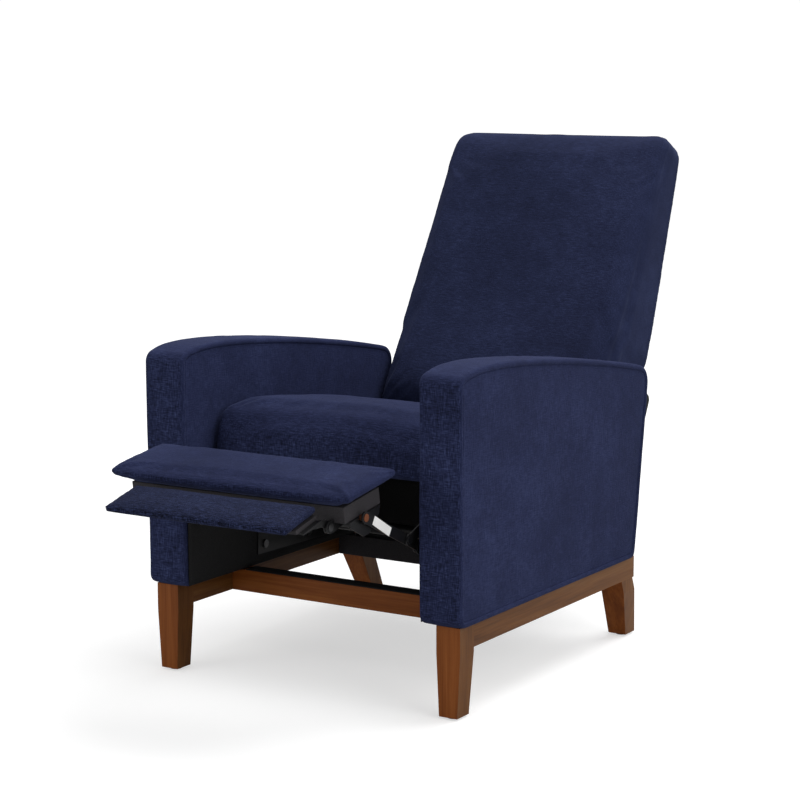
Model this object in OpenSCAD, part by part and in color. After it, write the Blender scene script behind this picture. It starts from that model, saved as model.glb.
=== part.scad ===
// Push-back recliner armchair on a timber base, drawn fully open.
// Millimetres. +X is the right arm seen from the front, -Y is the front, +Z is up.
// The origin is on the floor under the middle of the open chair. Inside this file lengths
// along Y are measured from the front face of the front legs, and placed() moves them there.

/* [Overall] */
// Width over the two arms
chair_w = 685.8; // [660:1:720]
// Thickness of each arm
arm_t = 86.9; // [80:1:92]
// Height of the underside of the arms above the floor
arm_base_z = 167.4; // [160:1:175]
// Highest point of the arms
arm_peak_z = 621; // [600:1:640]
// From the front legs' front face to the middle of the open chair's depth
leg_to_middle = 360; // [350:0.1:370]

/* [Timber base] */
// Height of the side and cross rails
rail_h = 42.4; // [38:0.5:44]
// Side of the square top of each leg
leg_top = 48; // [44:1:50]
// Distance of the front cross rail behind the front of the legs
cross_rail_y = 170; // [168:1:171]
// Distance of the rear cross rail behind the front of the legs
rear_rail_y = 543; // [535:1:548]

/* [Seat] */
// Tilt of the seat, front end up
seat_tilt = 4; // [3:0.5:4.5]
// Depth of the seat cushion
seat_l = 552; // [545:1:554]
// Thickness of the seat cushion over its frame
seat_h = 120; // [105:1:122]
// Travel of the seat from open to upright
seat_travel = 55; // [30:1:55]

/* [Back] */
// Lean of the open back from vertical
back_lean = 28.3; // [27:0.1:30]
// Length of the back above its pivot
back_l = 715.4; // [700:0.1:730]

/* [Footrest] */
// Depth of the main footrest pad
ottoman_l = 150; // [145:1:152]
// Slope of the open main pad, front edge down
ottoman_slope = 9; // [8:0.5:10]
// Depth of the small outer pad
flap_l = 95; // [90:1:96]
// Slope of the open outer pad, front edge down
flap_slope = 15; // [13:0.5:16]

/* [Steel mechanism] */
// Thickness of the stamped plates and links
plate_t = 3; // [2.5:0.1:3]
// Width of a link
link_w = 22; // [18:1:24]
// Length of the swing link, hole to hole
swing_l = 167; // [166:0.5:168]
// Length of the reach link from its elbow to the footrest bracket
reach_l = 146; // [145:0.5:147]
// Length of the reach link's tail behind the elbow
reach_tail = 45; // [44:0.5:46]
// Radius of the rivets that the links turn on
rivet_r = 4; // [3.5:0.1:4.2]

/* [Hidden] */
$fn = 48;
eps = 0.01;
inner_x = chair_w / 2 - arm_t;        // inner face of an arm
pad_x = inner_x - 4;                  // half width of the seat, back and main footrest pads
flap_x = 192;                         // half width of the outer pad
rail_x0 = 284.7;                      // inner and outer faces of the side rails
rail_x1 = rail_x0 + leg_top + 0.5;
rail_z0 = arm_base_z - rail_h;
glide_h = 4;                          // nylon glide under each foot

// Arms: side outline
arm_front_y = -13;
arm_rear_y = 660;                     // at the bottom; the rear edge leans back going up
arm_rear_lean = 0.13;
arm_peak_y = 90;
arm_top_r = 2350;                     // radius of the long arch of the arm top
arm_wall = 11;                        // foam and fabric over the arm frame
lining_t = 1.5;

// Mechanism layers from the arm inwards, each the lower x of a plate
gap = 1.5;
base_x = inner_x - lining_t - plate_t;
seat_x = base_x - 2.5 - plate_t;
swing_x = seat_x - gap - plate_t;
reach_x = swing_x - gap - plate_t;
control_x = reach_x - gap - plate_t;
bracket_x = control_x - gap - plate_t;
head_t = 1.2;                         // thickness of a rivet head, less than the gap
run = 0.05;                           // running clearance on rivets and pins

// Seat: frame of the cushion, and the points of its plates as [y, z]
seat_at = [68, 400];
function seat_line(y) = seat_at[1] - (y - seat_at[0]) * tan(seat_tilt);
back_pivot = [650, 352];
rollers = [[300, 335], [520, 318]];
roller_r = 8;

// Footrest: rear top edge of the main pad, tip of the outer pad
ottoman_at = [-78, 452];
flap_at = [-321, 384];
function turned(p, a) = [p[0] * cos(a) - p[1] * sin(a), p[0] * sin(a) + p[1] * cos(a)];
function on_ottoman(p) = ottoman_at + turned(p, ottoman_slope);
pad_t = 27;                           // main pad, and the board box under it
board_t = 29;
reach_hole = [-85, -58];              // reach link's hole in the bracket, along the pad
tube_hole = [-75, -78];              // cross tube between the brackets
flap_hole = [-140, -60];              // hinge of the outer pad

// Link pivots as [y, z]: the elbow follows from the two link lengths
swing_at = [136, 376];
control_at = [176.9, 369.7];
bracket_at = on_ottoman(reach_hole);
span = norm(bracket_at - swing_at);
swing_bend = acos((span * span + swing_l * swing_l - reach_l * reach_l) / (2 * span * swing_l));
swing_dir = atan2(bracket_at[1] - swing_at[1], bracket_at[0] - swing_at[0]) + swing_bend;
elbow_at = swing_at + swing_l * [cos(swing_dir), sin(swing_dir)];
reach_dir = atan2(bracket_at[1] - elbow_at[1], bracket_at[0] - elbow_at[0]);
tail_at = elbow_at - reach_tail * [cos(reach_dir), sin(reach_dir)];
tail_hole_r = 9;                      // loose hole round the control link's rivet
flap_pin_at = on_ottoman(flap_hole);

// ---- frames and helpers ----

module placed() translate([0, -leg_to_middle, 0]) children();

// Draws its children on the right, or mirrored on the left
module sided(side) mirror([side < 0 ? 1 : 0, 0, 0]) children();

// Both sides at once
module both() for (side = [-1, 1]) sided(side) children();

// Extrudes an outline given in [y, z] from x0 to x1
module across(x0, x1) rotate([90, 0, 90]) translate([0, 0, x0]) linear_extrude(x1 - x0) children();

module on_seat() translate([0, seat_at[0], seat_at[1]]) rotate([-seat_tilt, 0, 0]) children();
module on_back() translate([0, back_pivot[0], back_pivot[1]]) rotate([-back_lean, 0, 0]) children();
module on_pad() translate([0, ottoman_at[0], ottoman_at[1]]) rotate([ottoman_slope, 0, 0]) children();
module on_flap() translate([0, flap_at[0], flap_at[1]]) rotate([flap_slope, 0, 0]) children();

// Round bar along X at [y, z]
module bar(x0, x1, at, r) translate([x0, at[0], at[1]]) rotate([0, 90, 0]) cylinder(h = x1 - x0, r = r);

// Rivet with two flat heads: the shank runs from x0 to x1 and the heads lie outside it
module rivet(x0, x1, at, head_r = 7) {
  bar(x0 - head_t, x1 + head_t, at, rivet_r);
  bar(x0 - head_t, x0 - 0.1, at, head_r);
  bar(x1 + 0.1, x1 + head_t, at, head_r);
}

// Flat bar between two points, with round eyes a little wider than the bar
module link_outline(a, b, w) {
  d = b - a;
  bar_w = w - 3;
  translate(a) rotate(atan2(d[1], d[0])) translate([0, -bar_w / 2]) square([norm(d), bar_w]);
  translate(a) circle(d = w);
  translate(b) circle(d = w);
}

module hole_at(at, r) translate(at) circle(r = r);

// Outline points of an arc, for rounded corners
function arc(c, r, a0, a1, n = 6) =
  [for (i = [0:n]) c + r * [cos(a0 + (a1 - a0) * i / n), sin(a0 + (a1 - a0) * i / n)]];

// ---- timber base ----

module front_leg(side) color("saddlebrown") sided(side) difference() {
  hull() {
    for (z = [arm_base_z, 118]) translate([rail_x0, 0, z - eps]) cube([leg_top + 0.5, leg_top - 0.5, eps]);
    translate([rail_x0 + 5, 0.5, glide_h]) cube([leg_top - 11, leg_top - 7.5, eps]);
  }
  translate([rail_x0 + leg_top / 2, leg_top / 2, arm_base_z - 30]) cylinder(h = 31, r = 4.3);
}

module rear_leg(side) color("saddlebrown") sided(side) difference() {
  hull() {
    translate([rail_x0, 621.5, rail_z0 - eps]) cube([leg_top + 0.5, leg_top - 0.5, eps]);
    translate([rail_x0, 631.5, rail_z0 - 25]) cube([leg_top + 0.5, leg_top - 0.5, eps]);
    translate([rail_x0 - 5.5, 673.5, glide_h]) cube([leg_top - 10, leg_top - 8.5, eps]);
  }
  translate([rail_x0 + leg_top / 2, 648, rail_z0 - 24]) cylinder(h = 25, r = 4.3);
}

module side_rail(side) color("saddlebrown") sided(side) difference() {
  translate([rail_x0, leg_top - 0.5, rail_z0]) cube([leg_top + 0.5, 627.5, rail_h]);
  translate([rail_x0 + leg_top / 2, 648, rail_z0 - 1]) cylinder(h = 27, r = 4.3);
}

module front_cross_rail() color("saddlebrown")
  translate([-rail_x0, cross_rail_y, rail_z0]) cube([2 * rail_x0, 36, rail_h]);

strip_x = inner_x - lining_t - 2;

// Black webbing tacked along the top of the front cross rail
module front_rail_strip() color("dimgray")
  translate([-strip_x, cross_rail_y + 1, arm_base_z]) cube([2 * strip_x, 34, 1.6]);

module rear_cross_rail() color("black")
  translate([-rail_x0, rear_rail_y, rail_z0]) cube([2 * rail_x0, 24, rail_h]);

// Black cloth board standing on the rear cross rail
module rear_lining() color("black")
  translate([-244, rear_rail_y + 5, arm_base_z]) cube([488, 3, 132]);

module foot_glides() color("dimgray") both() {
  translate([rail_x0 + 5 + (leg_top - 11) / 2, 20.5, 0]) cylinder(h = glide_h, r = 11);
  translate([rail_x0 - 5.5 + (leg_top - 10) / 2, 693.5, 0]) cylinder(h = glide_h, r = 11);
}

// Hanger bolts that hold the legs
module leg_studs() color("silver") both() {
  translate([rail_x0 + leg_top / 2, leg_top / 2, arm_base_z - 29]) cylinder(h = 54, r = 4);
  translate([rail_x0 + leg_top / 2, 648, rail_z0 - 23]) cylinder(h = 47, r = 4);
}

// ---- arms ----

function arm_top(y) = arm_peak_z - pow(y - arm_peak_y, 2) / (2 * arm_top_r);

// Side outline of an arm, pulled in by d on every side
function arm_points(d) = let (
    z0 = arm_base_z,
    front_r = 20, rear_r = 36,
    y1 = arm_rear_y + arm_rear_lean * (arm_top(arm_rear_y) - z0) - d,
    zr = arm_top(y1 - rear_r) - d - rear_r)
  concat(
    [[arm_front_y + d, z0]],
    arc([arm_front_y + d + front_r, arm_top(arm_front_y + front_r) - d - front_r], front_r, 180, 95),
    [for (y = [60:70:620]) [y, arm_top(y) - d]],
    arc([y1 - rear_r - 4, zr], rear_r, 80, -4),
    [[arm_rear_y - d, z0]]);

// Foam and fabric, open underneath where the frame stands in it
module arm_cover(side) color("midnightblue") sided(side) difference() {
  across(inner_x, chair_w / 2) polygon(arm_points(0));
  across(inner_x + arm_wall, chair_w / 2 - arm_wall) polygon(arm_points(14));
  translate([inner_x + arm_wall, arm_front_y + 14, arm_base_z - 1])
    cube([arm_t - 2 * arm_wall, arm_rear_y - arm_front_y - 28, 2]);
  for (p = base_bolts) bar(inner_x - 1, inner_x + arm_wall + 1, p, 4.3);
}

// Timber frame inside the arm
frame_x0 = inner_x + arm_wall + 3;
frame_w = 54;
module arm_frame(side) color("burlywood") sided(side) difference() {
  union() {
    translate([frame_x0, 6, arm_base_z]) cube([frame_w, 42, 410]);
    translate([frame_x0, 600, arm_base_z]) cube([frame_w, 38, 340]);
    translate([frame_x0, 40, arm_base_z]) cube([frame_w, 570, 65]);
    translate([frame_x0 + 14, 40, 480]) cube([26, 570, 25]);
  }
  for (p = base_bolts) bar(frame_x0 - 1, frame_x0 + 21, p, 4.1);
  translate([rail_x0 + leg_top / 2, leg_top / 2, arm_base_z - 1]) cylinder(h = 27, r = 4.3);
}

// Black lining on the lower inner face of each arm
module arm_linings() color("black") both() difference() {
  translate([inner_x - lining_t, arm_front_y + 5, arm_base_z + 2]) cube([lining_t, 650, 236]);
  for (p = base_bolts) bar(inner_x - lining_t - 1, inner_x + 1, p, 4.3);
}

// ---- fixed plates on the arms ----

base_bolts = [[235, 208], [385, 205], [545, 203]];

module base_plate(side) color("black") sided(side) difference() {
  across(base_x, base_x + plate_t) difference() {
    polygon([[212, 190], [560, 184], [572, 196], [566, 250], [538, 338], [500, 338],
             [470, 300], [345, 306], [320, 352], [280, 352], [214, 235]]);
    for (p = base_bolts) hole_at(p, 4.3);
    for (p = rollers) hole_at(p, rivet_r);
  }
}

module base_plate_bolts() color("silver") both() for (p = base_bolts) {
  bar(base_x - 3.5, base_x, p, 8);
  bar(base_x - 1, frame_x0 + 20, p, 4);
}

// Nylon rollers that the seat plates slide on, on pins in the base plates
module glide_rollers() color("ivory") both() for (p = rollers) {
  bar(seat_x - 0.6, base_x - 0.1, p, roller_r);
  bar(seat_x - 0.6, base_x + plate_t, p, rivet_r);
}

module base_cross_tube() color("black") difference() {
  bar(-base_x, base_x, [420, 222], 12.7);
  bar(-base_x - 1, base_x + 1, [420, 222], 11.2);
}

// ---- seat ----

seat_frame_x = 222;
frame_h = 42;

module seat_cushion() color("midnightblue") on_seat() difference() {
  across(-pad_x, pad_x) polygon(concat(
    [[0, 0]],
    arc([36, seat_h - 40], 36, 180, 100),
    [[80, seat_h + 1], [140, seat_h + 2], [210, seat_h - 1], [300, seat_h - 14], [400, seat_h - 28]],
    arc([seat_l - 14, seat_h - 52], 14, 88, 0),
    [[seat_l, 0]]));
  translate([-seat_frame_x - 4, 26, -1]) cube([2 * seat_frame_x + 8, seat_l - 40, frame_h + 9]);
}

module seat_frame() color("burlywood") on_seat() difference() {
  translate([-seat_frame_x, 30, 0]) cube([2 * seat_frame_x, seat_l - 48, frame_h]);
  translate([-seat_frame_x + 30, 62, -1]) cube([2 * seat_frame_x - 60, seat_l - 112, frame_h + 2]);
}

// Centre line and outline of a wavy spring wire of flat section
function wave(s, turns, l, amp) = [amp * sin(360 * turns * s), l * s];
function wave_side(s, turns, l, amp, w) = let (
    slope = amp * 2 * PI * turns * cos(360 * turns * s) / l,
    n = [1, -slope] / norm([1, slope]))
  wave(s, turns, l, amp) + n * w / 2;
module wavy_wire(l, turns, amp = 20, w = 4) {
  steps = turns * 8;
  polygon(concat(
    [for (i = [0:steps]) wave_side(i / steps, turns, l, amp, w)],
    [for (i = [steps:-1:0]) wave_side(i / steps, turns, l, amp, -w)]));
}

module seat_springs() color("gray") on_seat() for (i = [-2:2])
  translate([i * 80, 36, frame_h]) linear_extrude(3.5) wavy_wire(seat_l - 60, 9);

// Black cloth under the seat
module seat_lining() color("black") on_seat()
  translate([-198, 110, -1.5]) cube([396, seat_l - 130, 1.5]);

module seat_plate(side) color("black") sided(side) difference() {
  union() {
    across(seat_x, seat_x + plate_t) {
      polygon([[112, seat_line(112) - 0.5], [112, 366], [122, 352], [196, 346], [236, 312],
               [560, 296], [622, 306], [664, 333], [640, 374], [626, 371],
               [621, seat_line(612) - 0.5], [612, seat_line(612) - 0.5]]);
      translate(back_pivot) circle(r = 24);
    }
    on_seat() translate([200, 45, -plate_t]) cube([seat_x + plate_t - 200, 495, plate_t]);
  }
  across(seat_x - 1, seat_x + plate_t + 1) {
    for (p = rollers) rotate_slot(p);
    for (p = [swing_at, control_at]) hole_at(p, rivet_r);
    hole_at(back_pivot, 6);
  }
  for (v = [90, 290, 490]) on_seat() translate([212, v, -plate_t - 1]) cylinder(h = plate_t + 2, r = 2.6);
}

// Slot that a roller runs in: the roller is at its rear end when the chair is open
module rotate_slot(at) translate(at) rotate(-seat_tilt) {
  circle(r = roller_r + 0.25);
  translate([-seat_travel - 2, 0]) circle(r = roller_r + 0.25);
  translate([-seat_travel - 2, -roller_r - 0.25]) square([seat_travel + 2, 2 * roller_r + 0.5]);
}

module seat_plate_screws() color("silver") both() on_seat() for (v = [90, 290, 490])
  translate([212, v, -plate_t - 2.2]) {
    cylinder(h = 2.2, r = 5);
    cylinder(h = plate_t + 2.2, r = 2.5);
  }

module seat_cross_tube() color("black") difference() {
  bar(-seat_x, seat_x, [586, 322], 12);
  bar(-seat_x - 1, seat_x + 1, [586, 322], 10.5);
}

module seat_link_rivets() color("silver") both() {
  rivet(swing_x, seat_x + plate_t, swing_at);
  rivet(control_x, seat_x + plate_t, control_at);
  bar(control_x + plate_t + 0.1, seat_x - 0.1, control_at, 6);
}

module back_pivot_pins() color("silver") both() {
  bar(swing_x - 3, seat_x + plate_t + 1.4, back_pivot, 6);
  bar(swing_x - 3, swing_x - 0.1, back_pivot, 9);
}

// ---- back ----

cavity_x = 246;
function back_rear(w) = 150 - 0.138 * (w - 95);

module back_cushion() color("midnightblue") on_back() difference() {
  across(-pad_x, pad_x) polygon(concat(
    [[-34, 50], [-49, 78], [-50, 100], [-40, 190], [-31, 300], [-28, 450], [-27, 600]],
    arc([2, back_l - 28], 28, 170, 90),
    arc([back_rear(back_l) - 18, back_l - 18], 18, 88, 2),
    [[back_rear(60), 60], [back_rear(60) - 6, 50]]));
  translate([-cavity_x, -8, 49]) cube([2 * cavity_x, 58, 646]);
}

back_frame_x = swing_x;

module back_frame() color("burlywood") on_back() {
  both() translate([back_frame_x - 26, 5, 52]) cube([26, 40, 638]);
  for (w = [[52, 40], [350, 40], [655, 35]])
    translate([-back_frame_x + 20, 5, w[0]]) cube([2 * back_frame_x - 40, 40, w[1]]);
}

module back_springs() color("gray") on_back() for (i = [-1.5:1.5])
  translate([i * 96, 5, 60]) rotate([90, 0, 0]) linear_extrude(3.5) wavy_wire(615, 10);

// Black cloth hood behind the foot of the back
module back_tail_lining() color("black") on_back() across(-245, 245)
  polygon([[back_rear(226), 226], [189, 214], [198, 160], [201, 114], [196, 66], [188, 56],
           [back_rear(60), 60]]);

module back_bracket(side) color("black") sided(side) on_back() difference() {
  across(swing_x, swing_x + plate_t) {
    circle(r = 20);
    polygon([[-18, 8], [-4, 60], [6, 90], [6, 196], [14, 204], [36, 204], [44, 196],
             [44, 90], [30, 40], [19, -6]]);
  }
  across(swing_x - 1, swing_x + plate_t + 1) circle(r = 6 + run);
  for (w = [80, 170]) bar(swing_x - 1, swing_x + plate_t + 1, [25, w], 3.2);
}

module back_bracket_screws() color("silver") both() on_back() for (w = [80, 170])
  bar(swing_x, swing_x + plate_t + 1.2, [25, w], 3);

// ---- footrest links ----

module swing_link(side) color("black") sided(side) across(swing_x, swing_x + plate_t) difference() {
  link_outline(swing_at, elbow_at, link_w);
  hole_at(swing_at, rivet_r + run);
  hole_at(elbow_at, rivet_r);
}

module swing_link_rivets() color("silver") both() rivet(reach_x, swing_x + plate_t, elbow_at);

module reach_link(side) color("black") sided(side) across(reach_x, reach_x + plate_t) difference() {
  union() {
    link_outline(bracket_at, tail_at, link_w);
    translate(tail_at) circle(r = 14);
  }
  hole_at(bracket_at, rivet_r + run);
  hole_at(elbow_at, rivet_r + run);
  hole_at(tail_at, tail_hole_r);
}

// Blank white paper tag on the right reach link
module blank_tag() color("white") translate([0, bracket_at[0], bracket_at[1]])
  rotate([reach_dir + 180, 0, 0]) translate([reach_x + plate_t, 54, 0]) rotate([-4.6, 0, 0])
    translate([0, -30, -8]) cube([0.4, 60, 16]);

module control_link(side) color("black") sided(side) across(control_x, control_x + plate_t) difference() {
  link_outline(control_at, tail_at, link_w - 2);
  hole_at(control_at, rivet_r + run);
  hole_at(tail_at, rivet_r);
}

// The tail rivet hangs free in the reach link's loose hole
module control_link_rivets() color("silver") both() rivet(control_x, reach_x + plate_t, tail_at, 12);

// ---- footrest ----

module ottoman_pad() color("midnightblue") on_pad() across(-pad_x, pad_x) polygon(concat(
  arc([-8, -8], 8, 0, 90, 3),
  arc([-ottoman_l + 12, -12], 12, 95, 215, 5),
  [[-ottoman_l + 17, -pad_t], [-2, -pad_t]]));

module ottoman_board() color("black") on_pad()
  translate([-board_x, -128, -pad_t - board_t]) cube([2 * board_x, 110, board_t]);

under_board = -pad_t - board_t;
board_x = bracket_x - 2;

module ottoman_bracket(side) color("black") sided(side) on_pad() difference() {
  union() {
    across(bracket_x, bracket_x + plate_t) {
      polygon([[-120, under_board], [-26, under_board], [-32, under_board - 12], [-66, -93],
               [-84, -93], [-120, under_board - 10]]);
      translate(tube_hole) circle(r = 15);
    }
    translate([bracket_x - 22, -118, under_board - plate_t]) cube([24, 90, plate_t]);
  }
  across(bracket_x - 1, bracket_x + plate_t + 1) hole_at(reach_hole, rivet_r);
}

module ottoman_cross_tube() color("black") on_pad() difference() {
  bar(-bracket_x, bracket_x, tube_hole, 5.5);
  bar(-bracket_x - 1, bracket_x + 1, tube_hole, 4.4);
}

// Rivets flush with the inside of the brackets, where the flange runs past them
module ottoman_rivets() color("peru") both() {
  bar(bracket_x, reach_x + plate_t + head_t, bracket_at, rivet_r);
  bar(reach_x + plate_t + 0.1, reach_x + plate_t + head_t, bracket_at, 7);
  bar(bracket_x + plate_t + 0.1, reach_x - 0.1, bracket_at, 6);
}

hinge_x = flap_x + 9;

module flap_hinge_plates() color("black") both() on_pad() across(hinge_x, hinge_x + plate_t) difference() {
  union() {
    polygon([[-128, under_board], [-80, under_board], [-92, -66], [-128, -71], [-142, -71],
             [-140, -49], [-130, -50]]);
    hole_at(flap_hole, 11);
  }
  hole_at(flap_hole, rivet_r);
}

module flap_hinge_pins() color("silver") both() {
  bar(hinge_x - 7.5, hinge_x + plate_t + 1.5, flap_pin_at, rivet_r);
  bar(hinge_x + plate_t, hinge_x + plate_t + 1.5, flap_pin_at, 7);
  bar(hinge_x - 7.5, hinge_x - 6.1, flap_pin_at, 7);
}

flap_pad_t = 15;
flap_board_t = 7;
flap_pin_local = turned(flap_pin_at - flap_at, -flap_slope);

module flap_pad() color("midnightblue") on_flap() across(-flap_x, flap_x) polygon(concat(
  arc([7, -7], 7, 250, 100, 5),
  arc([flap_l - 5, -5], 5, 90, 0, 3),
  [[flap_l, -flap_pad_t], [9, -flap_pad_t]]));

module flap_board() color("black") on_flap()
  translate([-flap_x + 2, 30, -flap_pad_t - flap_board_t]) cube([2 * flap_x - 4, 62, flap_board_t]);

flap_under = -flap_pad_t - flap_board_t;

module flap_arm(side) color("black") sided(side) on_flap() difference() {
  union() {
    across(hinge_x - 4.5, hinge_x - 1.5) {
      polygon([[36, flap_under], [92, flap_under], [110, -31.5], [113, -36], [97, -40], [90, -35],
               [64, -27], [36, flap_under - 2.5]]);
      hole_at(flap_pin_local, 11);
    }
    translate([flap_x - 14, 38, flap_under - 2.5]) cube([hinge_x - 1.5 - flap_x + 14, 50, 2.5]);
  }
  across(hinge_x - 6, hinge_x) hole_at(flap_pin_local, rivet_r + run);
}

placed() front_leg(-1);  // front_leg_left
placed() front_leg(1);  // front_leg_right
placed() rear_leg(-1);  // rear_leg_left
placed() rear_leg(1);  // rear_leg_right
placed() side_rail(-1);  // side_rail_left
placed() side_rail(1);  // side_rail_right
placed() front_cross_rail();
placed() front_rail_strip();
placed() rear_cross_rail();
placed() rear_lining();
placed() foot_glides();
placed() leg_studs();
placed() arm_frame(-1);  // arm_frame_left
placed() arm_frame(1);  // arm_frame_right
placed() arm_cover(-1);  // arm_cover_left
placed() arm_cover(1);  // arm_cover_right
placed() arm_linings();
placed() base_plate(-1);  // base_plate_left
placed() base_plate(1);  // base_plate_right
placed() base_plate_bolts();
placed() glide_rollers();
placed() base_cross_tube();
placed() seat_cushion();
placed() seat_frame();
placed() seat_springs();
placed() seat_lining();
placed() seat_plate(-1);  // seat_plate_left
placed() seat_plate(1);  // seat_plate_right
placed() seat_plate_screws();
placed() seat_cross_tube();
placed() seat_link_rivets();
placed() back_pivot_pins();
placed() back_cushion();
placed() back_frame();
placed() back_springs();
placed() back_tail_lining();
placed() back_bracket(-1);  // back_bracket_left
placed() back_bracket(1);  // back_bracket_right
placed() back_bracket_screws();
placed() swing_link(-1);  // swing_link_left
placed() swing_link(1);  // swing_link_right
placed() swing_link_rivets();
placed() reach_link(-1);  // reach_link_left
placed() reach_link(1);  // reach_link_right
placed() blank_tag();
placed() control_link(-1);  // control_link_left
placed() control_link(1);  // control_link_right
placed() control_link_rivets();
placed() ottoman_pad();
placed() ottoman_board();
placed() ottoman_bracket(-1);  // ottoman_bracket_left
placed() ottoman_bracket(1);  // ottoman_bracket_right
placed() ottoman_cross_tube();
placed() ottoman_rivets();
placed() flap_hinge_plates();
placed() flap_hinge_pins();
placed() flap_pad();
placed() flap_board();
placed() flap_arm(-1);  // flap_arm_left
placed() flap_arm(1);  // flap_arm_right
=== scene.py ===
"""Looks of the push-back recliner: upholstery, wood, lining cloth and steel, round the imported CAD."""
import math

import bmesh
import bpy
import numpy as np
from mathutils import Matrix, Vector, kdtree


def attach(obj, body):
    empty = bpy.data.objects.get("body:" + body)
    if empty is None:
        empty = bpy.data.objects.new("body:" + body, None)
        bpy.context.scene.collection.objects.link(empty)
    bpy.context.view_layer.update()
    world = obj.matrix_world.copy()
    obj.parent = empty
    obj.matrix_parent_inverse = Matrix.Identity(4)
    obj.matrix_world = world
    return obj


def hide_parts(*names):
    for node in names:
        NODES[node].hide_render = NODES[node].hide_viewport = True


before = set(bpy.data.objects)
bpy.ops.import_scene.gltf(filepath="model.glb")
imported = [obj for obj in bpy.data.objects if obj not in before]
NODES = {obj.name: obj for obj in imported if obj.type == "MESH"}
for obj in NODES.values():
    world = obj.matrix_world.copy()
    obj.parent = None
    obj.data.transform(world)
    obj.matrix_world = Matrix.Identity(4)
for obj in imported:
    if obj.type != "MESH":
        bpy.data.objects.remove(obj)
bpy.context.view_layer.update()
scene = bpy.context.scene
MID = 360.0  # lengths along Y are given in mm from the front of the legs; the frame's origin is here


# ---------------------------------------------------------------- camera, light, floor

AZ, EL, ROLL = math.radians(32.3407), math.radians(8.7506), math.radians(-0.192)
look = Vector((-math.sin(AZ) * math.cos(EL), math.cos(AZ) * math.cos(EL), -math.sin(EL)))
right = Vector((math.cos(AZ), math.sin(AZ), 0))
up = right.cross(look)
right, up = (right * math.cos(ROLL) + up * math.sin(ROLL), up * math.cos(ROLL) - right * math.sin(ROLL))
cam = bpy.data.objects.new("camera", bpy.data.cameras.new("camera"))
scene.collection.objects.link(cam)
cam.data.lens, cam.data.sensor_width = 100.09, 36.0
cam.data.clip_start, cam.data.clip_end = 0.05, 60
basis = Matrix((right, up, -look)).transposed().to_4x4()
cam.matrix_world = Matrix.Translation((2.25319, -3.22470 - MID / 1000, 1.14732)) @ basis
scene.camera = cam


def area(name, at, aim, size, power, colour=(1, 1, 1)):
    lamp = bpy.data.lights.new(name, "AREA")
    lamp.shape, lamp.size, lamp.size_y = "RECTANGLE", size[0], size[1]
    lamp.energy, lamp.color = power, colour
    o = bpy.data.objects.new(name, lamp)
    scene.collection.objects.link(o)
    o.location = at
    o.rotation_mode = "QUATERNION"
    o.rotation_quaternion = (Vector(aim) - Vector(at)).to_track_quat("-Z", "Y")


area("key", (0.7, 1.1, 3.5), (0, -0.1, 0.4), (2.8, 2.8), 126)
area("fill_right", (3.4, -1.0, 1.9), (0, 0, 0.5), (2.2, 2.2), 46)
area("fill_left", (-2.2, -3.2, 1.3), (0, 0, 0.4), (2.2, 2.0), 27)
world = bpy.data.worlds.new("studio")
world.use_nodes = True
wt = world.node_tree
back = wt.nodes["Background"]
seen = wt.nodes.new("ShaderNodeLightPath")
level = wt.nodes.new("ShaderNodeMath")
level.operation = "MULTIPLY_ADD"  # white where it is seen, dimmer as a light
wt.links.new(seen.outputs["Is Camera Ray"], level.inputs[0])
level.inputs[1].default_value, level.inputs[2].default_value = 0.5, 0.52
wt.links.new(level.outputs[0], back.inputs[1])
back.inputs[0].default_value = (1, 1, 1, 1)
scene.world = world
scene.view_settings.view_transform = "Standard"

# ---------------------------------------------------------------- materials


class Mat:
    """A small helper to write node materials."""

    def __init__(self, name, **sockets):
        self.mat = bpy.data.materials.new(name)
        self.mat.use_nodes = True
        self.tree = self.mat.node_tree
        self.bsdf = self.tree.nodes["Principled BSDF"]
        for k, v in sockets.items():
            self.bsdf.inputs[k.replace("_", " ")].default_value = v
        self.coord = self.add("ShaderNodeTexCoord")

    def add(self, kind, **props):
        n = self.tree.nodes.new(kind)
        for k, v in props.items():
            setattr(n, k, v)
        return n

    def link(self, a, b):
        self.tree.links.new(a, b)
        return b

    def scaled(self, scale, turn=(0, 0, 0)):
        n = self.add("ShaderNodeMapping")
        n.inputs["Scale"].default_value = scale
        n.inputs["Rotation"].default_value = turn
        self.link(self.coord.outputs["Object"], n.inputs["Vector"])
        return n.outputs[0]

    def noise(self, vector, scale=1.0, detail=2.0, rough=0.5, distortion=0.0):
        n = self.add("ShaderNodeTexNoise")
        n.inputs["Scale"].default_value = scale
        n.inputs["Detail"].default_value = detail
        n.inputs["Roughness"].default_value = rough
        n.inputs["Distortion"].default_value = distortion
        self.link(vector, n.inputs["Vector"])
        return n.outputs["Fac"]

    def math(self, op, a, b=None, c=None, clamp=False):
        n = self.add("ShaderNodeMath", operation=op, use_clamp=clamp)
        for i, v in enumerate((a, b, c)):
            if v is None:
                continue
            if isinstance(v, (int, float)):
                n.inputs[i].default_value = v
            else:
                self.link(v, n.inputs[i])
        return n.outputs[0]

    def ramp(self, fac, stops):
        n = self.add("ShaderNodeValToRGB")
        e = n.color_ramp.elements
        e[0].position, e[0].color = stops[0][0], (*stops[0][1], 1)
        e[1].position, e[1].color = stops[-1][0], (*stops[-1][1], 1)
        for p, c in stops[1:-1]:
            e.new(p).color = (*c, 1)
        self.link(fac, n.inputs[0])
        return n.outputs[0]

    def bump(self, height, strength, distance):
        n = self.add("ShaderNodeBump")
        n.inputs["Strength"].default_value = strength
        n.inputs["Distance"].default_value = distance
        self.link(height, n.inputs["Height"])
        self.link(n.outputs[0], self.bsdf.inputs["Normal"])


def lin(r, g, b):
    """sRGB 0-255 to linear."""
    return tuple(((v / 255 + 0.055) / 1.055) ** 2.4 if v > 10 else v / 255 / 12.92
                 for v in (r, g, b))


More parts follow.
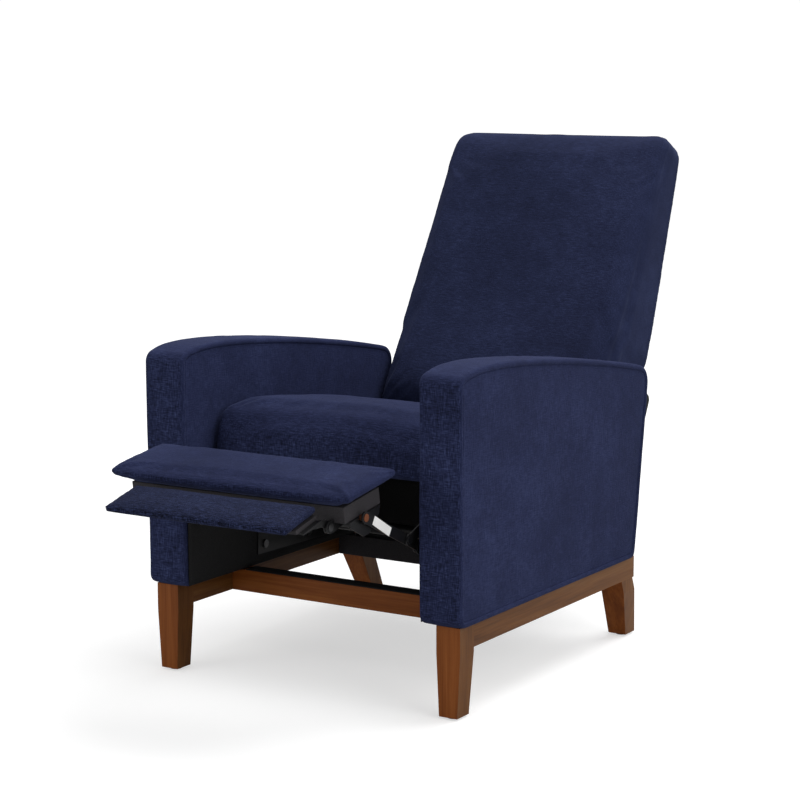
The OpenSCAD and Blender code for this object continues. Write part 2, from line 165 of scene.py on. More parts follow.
def weave(name, dark, mid, light, lean=0.0, strength=1.0):
    """Velvety chenille: slubs run both ways over each face, and show most on those facing forward."""
    k = Mat(name, Roughness=0.9, Sheen_Weight=SHEEN, Sheen_Roughness=0.4, Specular_IOR_Level=0.05)
    k.bsdf.inputs["Sheen Tint"].default_value = (0.42, 0.5, 0.95, 1)
    turn = (math.radians(lean), 0, 0)
    long, fine = 75.0, 760.0
    streaks = [k.noise(k.scaled([long if i == j else fine for j in range(3)], turn), detail=1.0)
               for i in range(3)]
    facing = k.add("ShaderNodeMapping", vector_type="NORMAL")
    facing.inputs["Rotation"].default_value = turn
    k.link(k.coord.outputs["Normal"], facing.inputs["Vector"])
    split = k.add("ShaderNodeSeparateXYZ")
    k.link(facing.outputs[0], split.inputs[0])
    toward = [k.math("MULTIPLY", o, o) for o in split.outputs]
    parts = [k.math("MULTIPLY", k.math("SUBTRACT", streak, 0.5), k.math("SUBTRACT", 1, t))
             for streak, t in zip(streaks, toward)]
    threads = k.math("ADD", k.math("ADD", parts[0], parts[1]), parts[2])
    amount = k.math("MULTIPLY_ADD", toward[1], 1.0 * strength, 0.5 * strength)
    pile = k.noise(k.scaled((1, 1, 1)), scale=5.0, detail=3.0, rough=0.6)
    soft = k.noise(k.scaled((1, 1, 1)), scale=34.0, detail=2.0, rough=0.6)
    tone = k.math("MULTIPLY_ADD", threads, amount, 0.5)
    tone = k.math("MULTIPLY_ADD", k.math("SUBTRACT", pile, 0.5), 0.45, tone)
    tone = k.math("MULTIPLY_ADD", k.math("SUBTRACT", soft, 0.5), 0.2, tone, clamp=True)
    k.link(k.ramp(tone, [(0.05, dark), (0.5, mid), (0.98, light)]), k.bsdf.inputs["Base Color"])
    k.bump(threads, 0.5 * strength, 0.0015)
    return k.mat


SIDE_SHADE_TINT = (0.64, 0.86, 1.08)  # painted shade: the sides that face left and right are darker and greyer than the fronts


def wood(name, along, dark, mid, light, rough=0.38):
    """Stained timber with grain along one axis."""
    k = Mat(name, Roughness=rough, Specular_IOR_Level=0.12)
    scale = [34.0, 34.0, 34.0]
    scale[along] = 1.7
    grain = k.noise(k.scaled(scale), scale=1.0, detail=5.0, rough=0.62, distortion=0.6)
    fine = [340.0, 340.0, 340.0]
    fine[along] = 9.0
    pore = k.noise(k.scaled(fine), detail=2.0)
    tone = k.math("MULTIPLY_ADD", k.math("SUBTRACT", pore, 0.5), 0.35, grain, clamp=True)
    stops = ((0.25, dark), (0.5, mid), (0.78, light))
    # the faces turned left and right take the darker, greyer ramp: painted shade
    front, edge = (k.ramp(tone, [(at, tuple(np.array(c) * tint)) for at, c in stops])
                   for tint in ((1, 1, 1), SIDE_SHADE_TINT))
    split = k.add("ShaderNodeSeparateXYZ")
    k.link(k.coord.outputs["Normal"], split.inputs[0])
    both = k.add("ShaderNodeMix", data_type="RGBA")
    k.link(k.math("MULTIPLY", split.outputs[0], split.outputs[0]), both.inputs["Factor"])
    mix_a, mix_b, mix_out = both.inputs[6], both.inputs[7], both.outputs[2]  # its colour sockets
    k.link(front, mix_a)
    k.link(edge, mix_b)
    k.link(mix_out, k.bsdf.inputs["Base Color"])
    k.bump(pore, 0.12, 0.0004)
    return k.mat


def plain(name, colour, rough, metallic=0.0, spot=0.12, scale=90.0, bump=0.1, distance=0.0003,
          **more):
    """Metal, plastic and lining cloth: a colour and roughness that vary a little over the surface."""
    k = Mat(name, Metallic=metallic, **more)
    n = k.noise(k.scaled((1, 1, 1)), scale=scale, detail=4.0, rough=0.6)
    lo, hi = (tuple(c * f for c in colour) for f in (1 - spot, 1 + spot))
    k.link(k.ramp(n, [(0.3, lo), (0.7, hi)]), k.bsdf.inputs["Base Color"])
    k.link(k.math("MULTIPLY_ADD", n, 0.18, rough - 0.09), k.bsdf.inputs["Roughness"])
    k.bump(n, bump, distance)
    return k.mat


SHEEN = 0.07
BACK_LEAN = 28.3
NAVY = [lin(16, 19, 34), lin(33, 38, 65), lin(58, 66, 102)]
fabric = weave("fabric_navy", *NAVY, strength=0.72)
# the outer footrest pad's navy is darker, as painted shade from the main pad above it, and has a
# stronger weave
fabric_outer_shaded = weave("fabric_navy_outer_shaded", lin(10, 12, 23), lin(24, 28, 49), lin(48, 56, 88),
                     strength=1.6)
# the back's navy is darker all over: painted shade; its weave leans with the back and is fainter
fabric_back_shaded = weave("fabric_navy_back_shaded", lin(14, 17, 31), lin(30, 35, 59), lin(52, 60, 93),
                    lean=BACK_LEAN, strength=0.4)
BROWN = [lin(84, 42, 16), lin(117, 63, 25), lin(140, 82, 38)]
wood_z = wood("walnut_upright", 2, *BROWN)
wood_y = wood("walnut_side", 1, *BROWN)
wood_x = wood("walnut_cross", 0, *BROWN)
timber = wood("raw_timber", 1, lin(140, 104, 66), lin(176, 138, 94), lin(196, 160, 116), rough=0.7)
steel = plain("black_steel", lin(26, 26, 28), 0.38, metallic=0.5, scale=220.0)
zinc = plain("zinc_steel", lin(92, 92, 94), 0.33, metallic=1.0, scale=300.0)
copper = plain("copper_rivet", lin(168, 104, 74), 0.34, metallic=1.0, scale=300.0)
spring = plain("spring_wire", lin(96, 96, 98), 0.4, metallic=1.0, scale=300.0)
nylon = plain("nylon", lin(96, 95, 92), 0.45, scale=200.0, spot=0.04)
label = plain("blank_label", lin(232, 232, 230), 0.5, scale=60.0, spot=0.03)
liner = plain("black_lining", lin(37, 37, 38), 0.95, scale=900.0, spot=0.45, bump=0.5,
              distance=0.0005, Specular_IOR_Level=0.1)
board = plain("black_board", lin(50, 48, 51), 0.75, scale=500.0, spot=0.3, bump=0.3,
              distance=0.0004, Specular_IOR_Level=0.2)


def paint(material, *nodes):
    for n in nodes:
        o = NODES[n]
        o.data.materials.clear()
        o.data.materials.append(material)


def pick(*parts):
    return [n for n in NODES if any(p in n for p in parts)]


paint(steel, *pick("plate", "link_", "bracket_", "cross_tube", "flap_arm", "hinge_plates"))
paint(zinc, *pick("bolts", "screws", "rivets", "pins", "studs"))
paint(copper, "ottoman_rivets")
paint(spring, "seat_springs", "back_springs")
paint(nylon, "foot_glides", "glide_rollers")
paint(label, "blank_tag")
paint(liner, "front_rail_strip", "rear_lining", "arm_linings", "seat_lining", "back_tail_lining")
paint(board, "rear_cross_rail", "ottoman_board", "flap_board")
paint(timber, *pick("arm_frame"), "seat_frame", "back_frame")
paint(wood_z, *pick("leg_left", "leg_right"))
paint(wood_y, *pick("side_rail"))
paint(wood_x, "front_cross_rail")


def soften(width, segments, *nodes):
    """A small bevel on a CAD node's sharp edges, so that they catch light."""
    for n in nodes:
        o = NODES[n]
        weld = o.modifiers.new("weld", "WELD")
        weld.merge_threshold = 1e-5
        b = o.modifiers.new("edge", "BEVEL")
        b.width, b.segments, b.limit_method, b.angle_limit = width, segments, "ANGLE", math.radians(35)
        b.use_clamp_overlap = b.harden_normals = True


soften(0.002, 3, *pick("leg_left", "leg_right", "side_rail"), "front_cross_rail")
soften(0.0012, 2, "rear_cross_rail", "ottoman_board", "flap_board")

# ---------------------------------------------------------------- mesh helpers


def build(name, verts, faces, material):
    """A smooth-shaded object from points and faces, with one material."""
    me = bpy.data.meshes.new(name)
    me.from_pydata([tuple(v) for v in verts], [], faces)
    bm = bmesh.new()
    bm.from_mesh(me)
    bmesh.ops.remove_doubles(bm, verts=bm.verts, dist=1e-6)
    bmesh.ops.recalc_face_normals(bm, faces=bm.faces)
    bm.to_mesh(me)
    bm.free()
    me.polygons.foreach_set("use_smooth", [True] * len(me.polygons))
    me.materials.append(material)
    o = bpy.data.objects.new(name, me)
    scene.collection.objects.link(o)
    return o


def rings_to_mesh(name, rings, material):
    """Joins closed rings of equal length, and caps both ends with a strip from side to side."""
    n = len(rings[0])
    verts = [p for r in rings for p in r]
    faces = []
    for i in range(len(rings) - 1):
        for j in range(n):
            a, b = i * n + j, i * n + (j + 1) % n
            faces.append((a, b, b + n, a + n))
    for start in (0, (len(rings) - 1) * n):
        for i in range((n - 1) // 2):
            quad = [i, i + 1, n - 2 - i, n - 1 - i]
            faces.append(tuple(start + v for v in sorted(set(quad))))
    return build(name, verts, faces, material)


def rounded_box(hx, hy, hz, r, step):
    """Points and faces of a grid on a box with round edges, about its own middle."""
    verts, faces, index = [], [], {}
    counts = [max(2, int(2 * h / step)) for h in (hx, hy, hz)]
    h = np.array([hx, hy, hz])

    def vert(i, j, k):
        key = (i, j, k)
        if key not in index:
            p = (np.array([i / counts[0], j / counts[1], k / counts[2]]) * 2 - 1) * h
            q = np.clip(p, -(h - r), h - r)
            d = p - q
            n = np.linalg.norm(d)
            index[key] = len(verts)
            verts.append(q + d / n * r if n > 1e-9 else p)
        return index[key]

    for ax in range(3):
        u, v = (ax + 1) % 3, (ax + 2) % 3
        for side in (0, counts[ax]):
            for a in range(counts[u]):
                for b in range(counts[v]):
                    quad = []
                    for da, db in ((0, 0), (1, 0), (1, 1), (0, 1)):
                        key = [0, 0, 0]
                        key[ax], key[u], key[v] = side, a + da, b + db
                        quad.append(vert(*key))
                    faces.append(tuple(quad))
    return np.array(verts), faces


def remesh(o, size):
    mod = o.modifiers.new("remesh", "REMESH")
    mod.mode, mod.voxel_size, mod.use_smooth_shade = "VOXEL", size, True
    settle(o)


def settle(o):
    """Applies an object's modifiers."""
    dg = bpy.context.evaluated_depsgraph_get()
    me = bpy.data.meshes.new_from_object(o.evaluated_get(dg), depsgraph=dg)
    o.modifiers.clear()
    o.data = me


def points(o):
    co = np.empty(len(o.data.vertices) * 3)
    o.data.vertices.foreach_get("co", co)
    return co.reshape(-1, 3)


def put(o, co):
    o.data.vertices.foreach_set("co", co.astype(np.float32).ravel())
    o.data.update()


def normals(o):
    n = np.empty(len(o.data.vertices) * 3)
    o.data.vertices.foreach_get("normal", n)
    return n.reshape(-1, 3)


def inflate(o, hold, cap, pressure=4.0):
    """Cloth under pressure. hold(points) says which points stay put; no point moves more than cap."""
    before = points(o)
    keep = np.clip(hold(before), 0, 1)
    group = o.vertex_groups.new(name="hold")
    for w in np.unique(np.round(keep, 1)):
        if w > 0:
            group.add(np.nonzero(np.abs(np.round(keep, 1) - w) < 1e-6)[0].tolist(), float(w), "REPLACE")
    mod = o.modifiers.new("cloth", "CLOTH")
    c = mod.settings
    c.quality = 5
    c.mass = 0.3
    c.use_pressure, c.uniform_pressure_force = True, pressure
    c.tension_stiffness = c.compression_stiffness = 12
    c.shear_stiffness, c.bending_stiffness = 5, 2.0
    c.effector_weights.gravity = 0
    c.vertex_group_mass = "hold"
    mod.point_cache.frame_start, mod.point_cache.frame_end = 1, 20
    for f in range(1, 21):
        scene.frame_set(f)
    settle(o)
    scene.frame_set(1)
    after = points(o)
    d = after - before
    far = np.linalg.norm(d, axis=1, keepdims=True)
    put(o, before + d * np.minimum(1, cap / np.maximum(far, 1e-9)))


def subdivide(o):
    mod = o.modifiers.new("fine", "SUBSURF")
    mod.levels = mod.render_levels = 1
    settle(o)
    o.data.polygons.foreach_set("use_smooth", [True] * len(o.data.polygons))


def seam(o, path, depth=0.0016, width=0.0024, ridge=0.0007):
    """Draws a sewn seam into a mesh along a path: a groove with a slight swell on both sides."""
    dense = []
    for a, b in zip(path[:-1], path[1:]):
        a, b = Vector(a), Vector(b)
        steps = max(1, int((b - a).length / 0.0015))
        dense += [a.lerp(b, i / steps) for i in range(steps)]
    tree = kdtree.KDTree(len(dense))
    for i, p in enumerate(dense):
        tree.insert(p, i)
    tree.balance()
    co, n = points(o), normals(o)
    cell = 0.012
    near = {tuple(c) for c in np.unique(np.floor(np.array(dense) / cell).astype(int), axis=0)}
    step = (-1, 0, 1)
    near = {(a + i, b + j, c + k) for a, b, c in near for i in step for j in step for k in step}
    key = lambda c: (c[..., 0] * 4001 + c[..., 1]) * 4001 + c[..., 2]
    close = np.isin(key(np.floor(co / cell).astype(np.int64)), key(np.array(sorted(near), np.int64)))
    index = np.nonzero(close)[0]
    d = np.array([tree.find(co[i])[2] for i in index])
    push = depth * np.exp(-(d / width) ** 2) - ridge * np.exp(-((d - 2.6 * width) / width) ** 2)
    co[index] -= n[index] * push[:, None]
    put(o, co)


def field(p, seed):
    """Smooth random values from -1 to 1 at points, one lump per unit of length."""
    p = np.asarray(p, float) + seed * np.array([17.31, 5.77, 11.93])
    cell = np.floor(p).astype(np.int64)
    f = p - cell
    f = f * f * f * (f * (f * 6 - 15) + 10)
    total = np.zeros(len(p))
    for corner in np.ndindex(2, 2, 2):
        c = cell + np.array(corner)
        h = (c[:, 0] * 73856093) ^ (c[:, 1] * 19349663) ^ (c[:, 2] * 83492791)
        h = (h ^ (h >> 13)) * 1274126177 & 0x7FFFFFFF
        h = (h ^ (h >> 11)) & 0xFFFF
        total += np.where(corner, f, 1 - f).prod(1) * (h / 32767.5 - 1)
    return total


def ripple(o, size, scale, seed, where=None):
    """Long soft waves, as in stretched upholstery."""
    co, n = points(o), normals(o)
    w = np.ones(len(co)) if where is None else where(co)
    put(o, co + n * (size * w * field(co * np.array(scale), seed))[:, None])


def smooth01(t):
    t = np.clip(t, 0, 1)
    return t * t * (3 - 2 * t)


def turned(yz, deg):
    a = math.radians(deg)
    y, z = yz[..., 0], yz[..., 1]
    return np.stack([y * math.cos(a) - z * math.sin(a), y * math.sin(a) + z * math.cos(a)], -1)


def to_frame(local, origin, deg):
    """Local mm points (x, y, z), turned about X by deg and moved to origin (y, z), as metres."""
    out = np.array(local, float).copy()
    out[:, 1:] = turned(out[:, 1:], deg) + np.array(origin)
    out[:, 1] -= MID
    return out / 1000


# ---------------------------------------------------------------- arms

INNER, OUTER = 256.0, 342.9  # the arm's inner and outer faces, along X
# the arm's top line, as (y, z)
KNOTS = np.array([(-14, 606), (9, 613), (21, 616.2), (43, 619.3), (70, 620.6), (98, 621),
                  (140, 620), (187, 617.3), (245, 612.4), (304, 606.5), (365, 599.6),
                  (426, 591.8), (500, 581), (567, 570.6), (640, 557.8), (690, 548)])
ARM_Y = np.linspace(-14, 690, 353)
ARM_Z = np.interp(ARM_Y, *KNOTS.T)
for _ in range(60):  # rounds the line off between its knots
    ARM_Z[1:-1] = (ARM_Z[:-2] + 2 * ARM_Z[1:-1] + ARM_Z[2:]) / 4


def arm_outline(d):
    """The arm's side outline pulled in by d mm, front bottom first, clockwise seen from the right."""
    fr, rr, low = 22.0, 36.0, 18.0  # radii of the front, rear and bottom front corners
    pts = []

    def top(y):
        return np.interp(y, ARM_Y, ARM_Z)

    def add(cy, cz, r, a0, a1, n):
        for i in range(n + 1):
            a = math.radians(a0 + (a1 - a0) * i / n)
            pts.append((cy + (r - d) * math.cos(a), cz + (r - d) * math.sin(a)))

    def line(a, b, n):
        for i in range(1, n):
            pts.append((a[0] + (b[0] - a[0]) * i / n, a[1] + (b[1] - a[1]) * i / n))

    add(-13 + low, 167.4 + low, low, 270, 180, 4)
    first = pts[0]
    line(pts[-1], (-13 + d, top(9) - fr - 1.2), 34)
    add(-13 + fr, top(9) - fr - 1.2, fr, 180, 96, 8)
    y1 = 712.0
    for y in np.linspace(16, y1 - rr - 6, 46):
        slope = (top(y + 4) - top(y - 4)) / 8
        n = np.array([-slope, 1]) / math.hypot(slope, 1)
        pts.append((y - n[0] * d, top(y) - n[1] * d))
    add(y1 - rr, top(y1 - rr) - rr - 1.5, rr, 74, -6, 8)
    a = pts[-1]
    line(a, (661 - d, 167.4 + d), 26)
    pts.append((661 - d, 167.4 + d))
    line(pts[-1], first, 40)
    return np.array(pts)


OUT = -10.0  # a ring's inset is counted from here where it lies outside the plain outline


def make_arm(side):
    """Band over the front and top with a sewn edge on each side, and slightly padded side panels."""
    # (inset, x from the inner face) of each ring, from the middle of the inner panel to the outer one
    rings = []
    for share in (0.04, 0.12, 0.24, 0.38, 0.52, 0.66, 0.78, 0.87, 0.94, 0.98, 1.0):
        rings.append((-share, 2.4 - 2.6 * (1 - math.exp(-(1 - share) * 9))))
    rings += [(13.2, 1.7), (12.4, 2.7), (11.7, 3.1), (11.0, 2.6), (10.2, 1.0), (8.6, 0.3),
              (6.0, 0.2), (3.9, 0.6), (2.3, 1.7), (1.1, 3.2), (0.4, 5.2), (0.1, 8.4)]
    edge = len(rings)
    w = OUTER - INNER
    for x, out in ((20, 0.3), (30, 0.6), (w / 2, 0.9), (w - 30, 0.6), (w - 20, 0.3)):
        rings.append((OUT - out, x))
    rings += [(d, w - x) for d, x in reversed(rings[:edge])]
    loops = []
    middle = np.array([330.0, 390.0])
    for d, x in rings:
        if -1 <= d < 0:
            loop = middle + (arm_outline(14.2) - middle) * -d
        else:
            loop = arm_outline(d if d >= 0 else d - OUT)
        loops.append(np.column_stack([np.full(len(loop), (INNER + x) * side), loop]))
    o = rings_to_mesh("arm_right_cover" if side > 0 else "arm_left_cover",
                      [to_frame(l, (0, 0), 0) for l in loops], fabric)
    subdivide(o)
    co = points(o)
    flat = lambda c: smooth01((c[:, 2] - 0.17) / 0.05)
    ripple(o, 0.0011, (5, 7, 6), 1.0 if side > 0 else 2.0, flat)
    ripple(o, 0.00035, (30, 34, 30), 3.0 if side > 0 else 4.0, flat)
    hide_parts("arm_cover_right" if side > 0 else "arm_cover_left")
    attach(o, "base")


for s in (-1, 1):
    make_arm(s)

# ---------------------------------------------------------------- seat cushion

SEAT = ((68.0, 400.0), -4.0)  # the seat's front lower edge as (y, z), and its slope
# height of the top over the base, along the middle and along the sides
SEAT_Y = [-12, 4, 20, 60, 120, 200, 300, 440, 552]
SEAT_MID = [84, 100, 113, 121, 123, 119.5, 104.5, 87, 80]
SEAT_SIDE = [72, 89, 102, 107.5, 108, 105.5, 96, 84.5, 78]


def seat_top(x, y):
    """Height of the seat's top over its base."""
    bow = 1 - np.abs(x / 250) ** 3.3
    return np.interp(y, SEAT_Y, SEAT_SIDE) * (1 - bow) + np.interp(y, SEAT_Y, SEAT_MID) * bow


def make_seat():
    v, f = rounded_box(248.5, 275, 50, 13, 10)
    x, y, z = v[:, 0].copy(), v[:, 1] + 277, v[:, 2] + 51
    t = (z - 1) / 100
    z = 1 + t * (seat_top(x, y) - 3)
    u = x / 250
    swell = 5 * (1 - u ** 2) * np.sin(math.pi * np.clip(t, 0, 1)) - 4 * smooth01((t - 0.7) / 0.3)
    y -= np.clip(1 - y / 60, 0, 1) * swell
    # the foot of the back leans away from the seat, and the rear of the seat reaches after it
    y += np.clip((y - 480) / 72, 0, 1) * np.clip(t, 0, 1) * 8
    o = build("seat_cushion_cover", to_frame(np.column_stack([x, y, z]), *SEAT), f, fabric)
    remesh(o, 0.006)
    base = np.array([0.068 - MID / 1000, 0.4])

    def height(c):
        return turned(c[:, 1:] - base, 4)[:, 1]

    inflate(o, lambda c: 1 - smooth01((height(c) - 0.012) / 0.05), 0.006, 3.0)
    subdivide(o)
    top = lambda c: smooth01((height(c) - 0.05) / 0.05)
    ripple(o, 0.0018, (7, 9, 7), 5.0, top)
    ripple(o, 0.0005, (34, 30, 30), 6.0)
    # the sewn edge between the top and the boxing, along both sides
    side = [(248, yy, seat_top(250, yy) - 13) for yy in np.linspace(14, 540, 80)]
    ring = [(-a, b, c) for a, b, c in reversed(side)] + side
    for part in (ring[:80], ring[80:]):
        seam(o, to_frame(part, *SEAT))
    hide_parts("seat_cushion")
    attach(o, "seat")


make_seat()

# ---------------------------------------------------------------- back cushion

BACK = ((650.0, 352.0), -BACK_LEAN)  # the back's pivot as (y, z), and its lean


def round_rect(hx, w0, w1, r_top, r_low, n_side=40, n_arc=8):
    """Points of a rectangle in (x, w) with round corners, from the low right corner anticlockwise."""
    def between(a, b):
        return [(a[0] + (b[0] - a[0]) * i / n_side, a[1] + (b[1] - a[1]) * i / n_side)
                for i in range(1, n_side)]

    pts = []
    for cx, cw, r, a0 in ((hx - r_low, w0 + r_low, r_low, -90), (hx - r_top, w1 - r_top, r_top, 0),
                          (-hx + r_top, w1 - r_top, r_top, 90),
                          (-hx + r_low, w0 + r_low, r_low, 180)):
        angles = [math.radians(a0 + 90 * i / n_arc) for i in range(n_arc + 1)]
        arc = [(cx + r * math.cos(a), cw + r * math.sin(a)) for a in angles]
        if pts:
            pts += between(pts[-1], arc[0])
        pts += arc
    pts += between(pts[-1], pts[0])
    return np.array(pts)


def back_front(w):
    return np.interp(w, [50, 78, 100, 190, 250, 292, 390, 494, 613, 680, 706, 722],
                     [-36, -48, -50, -45, -41, -38, -33, -29, -24, -19, -13, -3])


def back_rear(w):
    return 150 - 0.138 * (w - 95)


def back_width(w):
    """The back is a little wider where it is clear of the arms."""
    return 1 + 0.026 * smooth01((w - 225) / 50) - 0.014 * smooth01((w - 330) / 330)


def make_back():
    rings = []
    for d in (200, 150, 110, 80, 56, 38, 25, 15, 8):
        rings.append((d, "front", -8.5 * (1 - math.exp(-(d - 6) / 38))))
    rings += [(4.0, "front", 1.2), (1.6, "front", 3.8), (0.3, "front", 8), (0, "mix", 0.2),
              (-0.4, "mix", 0.4), (-0.5, "mix", 0.6), (-0.2, "mix", 0.8), (0.3, "rear", -9),
              (2, "rear", -4.6), (5, "rear", -1.8), (10, "rear", -0.3)]
    for d in (18, 30, 50, 80, 120, 200):
        rings.append((d, "rear", 0.0))
    loops = []
    for d, kind, v in rings:
        hx = max(250.5 - d, 12)
        cut = min(d, 200)
        loop = round_rect(hx, 50 + cut, 722 - cut, max(36 - d, 6), max(14 - d, 4))
        w = loop[:, 1]
        loop[:, 0] *= back_width(w)
        f, r = back_front(w), back_rear(w)
        # the top edge is rounder than the sides
        top = smooth01((w - 640) / 75)
        if kind == "front":
            vv = f + v + top * 3 * math.exp(-d / 20)
        elif kind == "rear":
            vv = r + v - top * 5 * math.exp(-d / 20)
        else:
            vv = f + 10 + (r - 10 - f - 10) * v
        loops.append(to_frame(np.column_stack([loop[:, 0], vv, w]), *BACK))
    o = rings_to_mesh("back_cushion_cover", loops, fabric_back_shaded)
    remesh(o, 0.006)
    pivot = np.array([0.650 - MID / 1000, 0.352])

    def local(c):
        return turned(c[:, 1:] - pivot, BACK_LEAN)

    def hold(c):
        corner = smooth01((np.abs(c[:, 0]) - 0.19) / 0.05) * smooth01((local(c)[:, 1] - 0.6) / 0.06)
        return np.maximum(smooth01(local(c)[:, 0] / 0.03), corner)

    inflate(o, hold, 0.006, 3.0)
    subdivide(o)
    front = lambda c: 1 - smooth01((local(c)[:, 0] + 0.005) / 0.03)
    ripple(o, 0.0022, (6, 6, 7), 7.0, front)
    ripple(o, 0.0005, (30, 30, 30), 8.0)
    # sewn edges: front panel to boxing, and boxing to rear panel
    for off, kind in ((8.5, "front"), (-8.5, "rear")):
        path = []
        loop = round_rect(250.3, 64, 721.5, 36, 14, 60, 14)
        loop[:, 0] *= back_width(loop[:, 1])
        for (x, w) in loop:
            vv = back_front(w) + off if kind == "front" else back_rear(w) + off
            path.append((x, vv, w))
        path.append(path[0])
        seam(o, to_frame(path, *BACK), depth=0.0026, width=0.0028, ridge=0.0012)
    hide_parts("back_cushion")
    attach(o, "back")


make_back()

# ---------------------------------------------------------------- footrest pads


def make_pad(name, node, body, origin, deg, hx, length, thick, crown, lip, nose_mid, nose_end,
             rear_end, seed, cloth):
    """A pillow-like pad: crowned above, thin at its ends, full where its board is.

    Local y runs back from the nose. All lengths are in mm; lip is a share of the length.
    """
    xs = -np.cos(np.linspace(0, math.pi, 71)) * hx
    rings = []
    for x in xs:
        u = abs(x / hx)
        end = math.sqrt(max(0.0, 1 - max(0, (u - 0.97) / 0.03) ** 2))
        above = (crown - 0.35 * crown * u ** 3) * end

        def top(s):
            return above * np.interp(s, [0, 0.12, 0.35, 0.7, 0.93, 1], [0.45, 0.85, 1, 0.98, 0.8, 0.55])

        def low(s):
            nose = nose_end + (nose_mid - nose_end) * (1 - u ** 2)
            full = rear_end + (thick - rear_end) * smooth01((1 - u) / 0.18)
            k = smooth01(s / lip)
            return -(nose * (1 - k) + full * k) * (0.45 + 0.55 * end)

        pull = 2.5 * (1 - end)
        prof = []
        hi, lo = top(0.05), low(0.05)
        r = (hi - lo) / 2
        for a in np.linspace(-90, 90, 13):
            prof.append((r * 0.8 * (1 - math.cos(math.radians(a))) + pull,
                         (hi + lo) / 2 + r * math.sin(math.radians(a))))
        for s in np.linspace(0.16, 0.94, 18):
            prof.append((s * length, top(s)))
        hi, lo = top(0.97), low(0.97)
        r = (hi - lo) / 2
        for a in np.linspace(90, -90, 11):
            prof.append((length - pull - 6 * (1 - math.cos(math.radians(a))),
                         (hi + lo) / 2 + r * math.sin(math.radians(a))))
        for s in np.linspace(0.92, 0.14, 18):
            prof.append((s * length, low(s)))
        rings.append(np.array([(x, y, z) for y, z in prof]))
    o = rings_to_mesh(name, [to_frame(r, origin, deg) for r in rings], cloth)
    remesh(o, 0.004)
    at = np.array([origin[0] - MID, origin[1]]) / 1000
    height = lambda c: turned(c[:, 1:] - at, -deg)[:, 1]
    inflate(o, lambda c: 1 - smooth01((height(c) + 0.006) / 0.008), 0.003, 3.0)
    subdivide(o)
    ripple(o, 0.0014, (11, 16, 12), seed, lambda c: smooth01((height(c) + 0.008) / 0.01))
    ripple(o, 0.0004, (36, 36, 36), seed + 1)
    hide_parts(node)
    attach(o, body)


nose_main = to_frame([[0, -150, 0]], (-78, 452), 9)[0] * 1000
make_pad("footrest_main_cover", "ottoman_pad", "ottoman", (nose_main[1] + MID, nose_main[2]), 9,
         253, 151, 26.5, 10, 0.16, 17, 13, 11, 11, fabric)
make_pad("footrest_outer_cover", "flap_pad", "flap", (-321, 384), 15,
         192, 95, 14.6, 3.5, 0.3, 12, 11, 10, 13, fabric_outer_shaded)

# ---------------------------------------------------------------- black lining


def make_hood():
    """Cloth hood behind the foot of the back, taut over its frame with soft edges."""
    prof = [(-2, 226), (53, 217), (60, 210), (63, 160), (64, 116), (58, 68), (48, 57), (2, 58)]
    rings = []
    n_edge = 14
    for x, d in ((-245, 7), (-244, 3.5), (-241, 1.2), (-235, 0),
                 (235, 0), (241, 1.2), (244, 3.5), (245, 7)):
        loop = []
        c = np.array([28, 140.0])
        for i, a in enumerate(prof):
            b = prof[(i + 1) % len(prof)]
            for k in range(n_edge):
                p = np.array(a) + (np.array(b) - np.array(a)) * k / n_edge
                q = p - c
                q = q / np.linalg.norm(q)
                loop.append((x, p[0] - q[0] * d + 138, p[1] - q[1] * d))
        rings.append(to_frame(loop, *BACK))
    full = rings[:4]
    for k in range(1, 40):
        t = k / 40
        full.append(rings[3] * (1 - t) + rings[4] * t)
    full += rings[4:]
    o = rings_to_mesh("back_hood_lining", full, liner)
    subdivide(o)
    ripple(o, 0.0022, (9, 9, 6), 21)
    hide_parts("back_tail_lining")
    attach(o, "back")


make_hood()


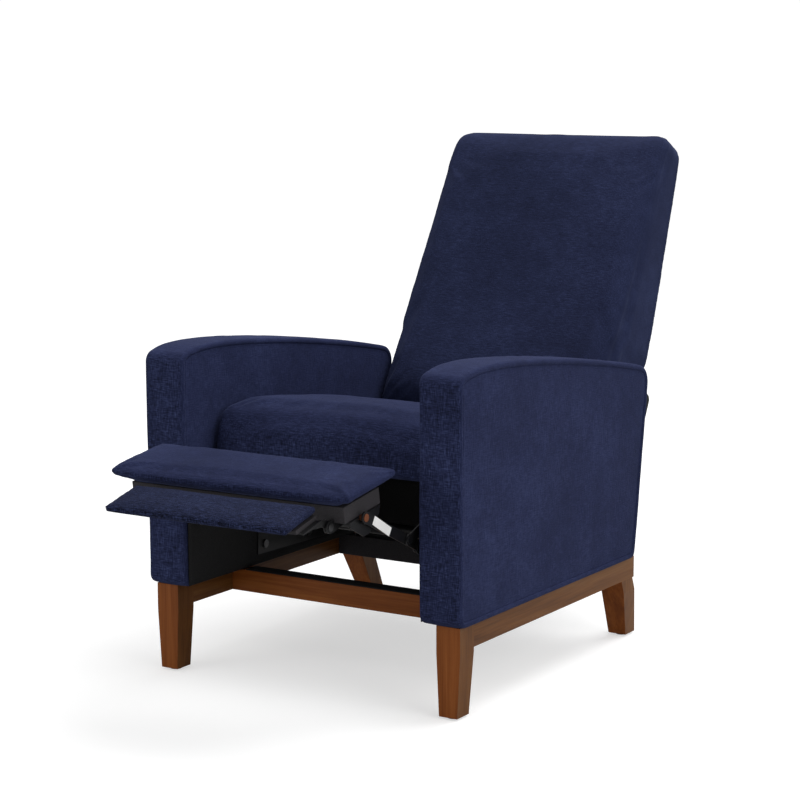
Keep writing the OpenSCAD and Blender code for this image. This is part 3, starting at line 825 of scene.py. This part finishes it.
def make_sheet(name, node, body, corner, du, dv, thick, waves, seed, local=((0, 0), 0)):
    """A stretched sheet of lining: two faces of a fine grid with a turned edge. Lengths in mm."""
    corner, du, dv = (np.array(a, float) for a in (corner, du, dv))
    lu, lv = np.linalg.norm(du), np.linalg.norm(dv)
    nu, nv = max(8, int(lu / 12)), max(8, int(lv / 12))
    n = np.cross(du, dv)
    n /= np.linalg.norm(n)
    verts, faces = [], []
    for face in (0, 1):
        for i in range(nu + 1):
            for j in range(nv + 1):
                p = corner + du * i / nu + dv * j / nv
                edge = min(i, nu - i, j, nv - j) / 3
                sag = waves * min(1, edge) * field([p / 70], seed)[0]
                verts.append(p + n * (thick * face + sag))
    at = lambda f, i, j: f * (nu + 1) * (nv + 1) + i * (nv + 1) + j
    for i in range(nu):
        for j in range(nv):
            faces.append((at(0, i, j), at(0, i, j + 1), at(0, i + 1, j + 1), at(0, i + 1, j)))
            faces.append((at(1, i, j), at(1, i + 1, j), at(1, i + 1, j + 1), at(1, i, j + 1)))
    for i in range(nu):
        faces.append((at(0, i, 0), at(0, i + 1, 0), at(1, i + 1, 0), at(1, i, 0)))
        faces.append((at(0, i + 1, nv), at(0, i, nv), at(1, i, nv), at(1, i + 1, nv)))
    for j in range(nv):
        faces.append((at(0, 0, j + 1), at(0, 0, j), at(1, 0, j), at(1, 0, j + 1)))
        faces.append((at(0, nu, j), at(0, nu, j + 1), at(1, nu, j + 1), at(1, nu, j)))
    o = build(name, to_frame(verts, *local), faces, liner)
    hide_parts(node)
    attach(o, body)


make_sheet("arm_lining_right", "arm_linings", "base",
           (254.7, -3, 170.4), (0, 645, 0), (0, 0, 235), 1.2, 0.3, 31)
make_sheet("arm_lining_left", "arm_linings", "base",
           (-254.7, -3, 170.4), (0, 0, 235), (0, 645, 0), 1.2, 0.3, 33)
make_sheet("rear_board_lining", "rear_lining", "base",
           (-244, 549.5, 167.6), (488, 0, 0), (0, 0, 131.4), 2.4, 0.8, 35)
make_sheet("seat_under_lining", "seat_lining", "seat",
           (-198, 110, -1.4), (396, 0, 0), (0, 422, 0), 1.2, 0.2, 37, SEAT)
make_sheet("front_rail_webbing", "front_rail_strip", "base",
           (-252, 171, 167.5), (504, 0, 0), (0, 34, 0), 1.4, 0.05, 39)

# ---------------------------------------------------------------- floor

bpy.ops.mesh.primitive_grid_add(x_subdivisions=8, y_subdivisions=8, size=120)
floor = bpy.context.object
floor.name = "floor"
k = Mat("pale_floor", Roughness=0.9, Specular_IOR_Level=0.1)
tone = k.ramp(k.noise(k.scaled((1, 1, 1)), scale=3.0), [(0.2, (0.53,) * 3), (0.8, (0.56,) * 3)])
k.link(tone, k.bsdf.inputs["Base Color"])
far = k.add("ShaderNodeVectorMath", operation="LENGTH")
k.link(k.coord.outputs["Object"], far.inputs[0])
seen = k.add("ShaderNodeLightPath")
glow = k.math("MULTIPLY_ADD", k.math("SUBTRACT", far.outputs["Value"], 1.4, clamp=True), 0.22, 0.55)
k.link(k.math("MULTIPLY", glow, seen.outputs["Is Camera Ray"]), k.bsdf.inputs["Emission Strength"])
k.bsdf.inputs["Emission Color"].default_value = (1, 1, 1, 1)
floor.data.materials.append(k.mat)
